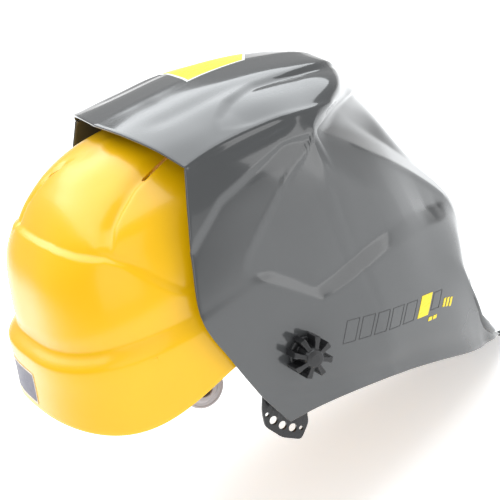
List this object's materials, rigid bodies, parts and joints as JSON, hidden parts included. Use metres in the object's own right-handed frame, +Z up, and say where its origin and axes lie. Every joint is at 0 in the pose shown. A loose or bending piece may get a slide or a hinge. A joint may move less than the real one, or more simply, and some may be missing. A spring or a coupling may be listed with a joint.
{
  "type": "hard hat with welding hood",
  "caption": "Yellow hard hat with ratchet harness, carrying a grey lift-front welding hood with auto-darkening filter, clamped at each side by a star knob.",
  "frame": {"origin": "centre of the head opening, 19 mm below the lower edge of the sweatband", "axes": "+X forward (the way the wearer looks), +Y wearer's left, +Z up as worn; the lower rim of the hat is close to horizontal"},
  "size_m": [0.3334, 0.2694, 0.2953],
  "materials": {
    "hat_yellow": "moulded gloss",
    "label_slate": "printed film",
    "webbing": "woven",
    "black_plastic": "moulded, fine texture",
    "foam": "knit-covered foam",
    "ring_grey": "moulded satin",
    "steel": "zinc plated",
    "brass": "turned",
    "washer_rubber": "matte",
    "hood_grey": "moulded high gloss",
    "decal_yellow": "printed film",
    "clear_cover": "clear polycarbonate",
    "filter_glass": "dark green",
    "solar_blue": "glossy",
    "sensor_red": "glossy",
    "button_red": "moulded"
  },
  "bodies": {
    "hat": {"hat_shell": "hat_yellow", "nape_label": "label_slate", "crown_strap_a": "webbing", "crown_strap_b": "webbing", "strap_anchors": "black_plastic", "headband": "black_plastic", "sweatband": "foam", "pivot_rings": "ring_grey", "slot_adapter_left": "black_plastic", "slot_adapter_right": "black_plastic", "arm_plates": "black_plastic", "arm_rivets": "steel", "position_plates": "black_plastic", "clamp_studs": "steel", "friction_washers": "washer_rubber"},
    "nape_cradle": {"nape_guide_left": "black_plastic", "nape_guide_right": "black_plastic"},
    "nape_band": {"nape_band_left": "black_plastic", "nape_band_right": "black_plastic", "ratchet_housing": "black_plastic", "nape_pad": "foam"},
    "ratchet": {"ratchet_knob": "black_plastic", "ratchet_pinion": "steel"},
    "hood": {"hood_shell": "hood_grey", "side_decals": "decal_yellow", "roof_decal": "decal_yellow", "front_cover": "clear_cover", "filter_case": "black_plastic", "filter_glass": "filter_glass", "solar_cell": "solar_blue", "arc_sensors": "sensor_red", "inner_cover": "clear_cover", "retainer_frame": "black_plastic", "retainer_screws": "steel"},
    "shade": {"shade_dial": "black_plastic"},
    "sensitivity": {"sensitivity_dial": "black_plastic"},
    "delay": {"delay_dial": "black_plastic"},
    "test": {"test_button": "button_red"},
    "battery": {"battery_drawer": "black_plastic", "battery_cell": "steel"},
    "knob_left": {"star_knob_left": "black_plastic", "knob_insert_left": "brass"},
    "knob_right": {"star_knob_right": "black_plastic", "knob_insert_right": "brass"}
  },
  "joints": [
    {"name": "hood_lift", "type": "hinge", "parent": "hat", "child": "hood", "pos_m": [0.035, 0, 0.02], "axis": [0, -1, 0], "range_deg": [0, 65]},
    {"name": "knob_left_turn", "type": "hinge", "parent": "hat", "child": "knob_left", "pos_m": [0.035, 0.126, 0.02], "axis": [0, -1, 0], "range_deg": [0, 270]},
    {"name": "knob_right_turn", "type": "hinge", "parent": "hat", "child": "knob_right", "pos_m": [0.035, -0.126, 0.02], "axis": [0, 1, 0], "range_deg": [0, 270]},
    {"name": "nape_swing", "type": "hinge", "parent": "hat", "child": "nape_cradle", "pos_m": [-0.0275, 0, 0.021], "axis": [0, 1, 0], "range_deg": [-10, 5]},
    {"name": "nape_adjust", "type": "slide", "parent": "nape_cradle", "child": "nape_band", "axis": [0.9781, 0, -0.2079], "range_m": [0, 0.008]},
    {"name": "ratchet_turn", "type": "hinge", "parent": "nape_band", "child": "ratchet", "pos_m": [-0.09597, 0, 0.03555], "axis": [0.9781, 0, -0.2079], "range_deg": [0, 90]},
    {"name": "shade_turn", "type": "hinge", "parent": "hood", "child": "shade", "pos_m": [0.17498, 0.02, -0.04976], "axis": [0.9826, 0, -0.1857], "range_deg": [0, 270]},
    {"name": "sensitivity_turn", "type": "hinge", "parent": "hood", "child": "sensitivity", "pos_m": [0.17498, 0.008, -0.04976], "axis": [0.9826, 0, -0.1857], "range_deg": [0, 270]},
    {"name": "delay_turn", "type": "hinge", "parent": "hood", "child": "delay", "pos_m": [0.17498, -0.04, -0.04976], "axis": [0.9826, 0, -0.1857], "range_deg": [0, 270]},
    {"name": "test_press", "type": "slide", "parent": "hood", "child": "test", "axis": [0.9826, 0, -0.1857], "range_m": [0, 0.001], "stiffness_N_per_m": 300},
    {"name": "battery_slide", "type": "slide", "parent": "hood", "child": "battery", "axis": [-0.1857, 0, -0.9826], "range_m": [0, 0.012]}
  ],
  "couplings": [
    {"joint": "ratchet_turn", "follows": "nape_adjust", "rad_per_m": 196.35}
  ]
}
